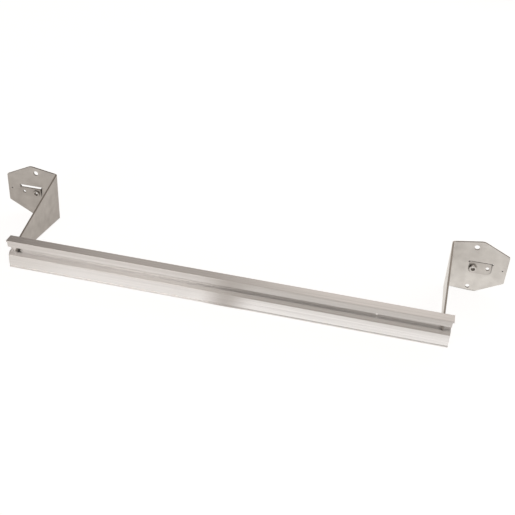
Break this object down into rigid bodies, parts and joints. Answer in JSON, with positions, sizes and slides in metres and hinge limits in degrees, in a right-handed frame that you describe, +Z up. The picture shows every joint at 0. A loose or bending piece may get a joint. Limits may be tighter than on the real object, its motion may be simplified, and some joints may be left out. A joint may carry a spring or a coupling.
{
  "type": "mounting rail",
  "caption": "Extruded aluminium mounting rail with an open front channel, carried on two folded sheet steel end brackets with angled, cut-cornered mounting plates.",
  "frame": {"origin": "middle of the rail's length, at the bottom front edge of the rail", "axes": "+X along the rail, +Y back from the rail's front face to the bracket plates, +Z up"},
  "size_m": [0.6076, 0.1217, 0.0661],
  "materials": {
    "rail_aluminium": "mill finish extrusion, satin",
    "bracket_steel": "zinc plated sheet, satin"
  },
  "bodies": {
    "root": {"rail": "rail_aluminium", "left_bracket": "bracket_steel", "right_bracket": "bracket_steel"}
  },
  "joints": []
}
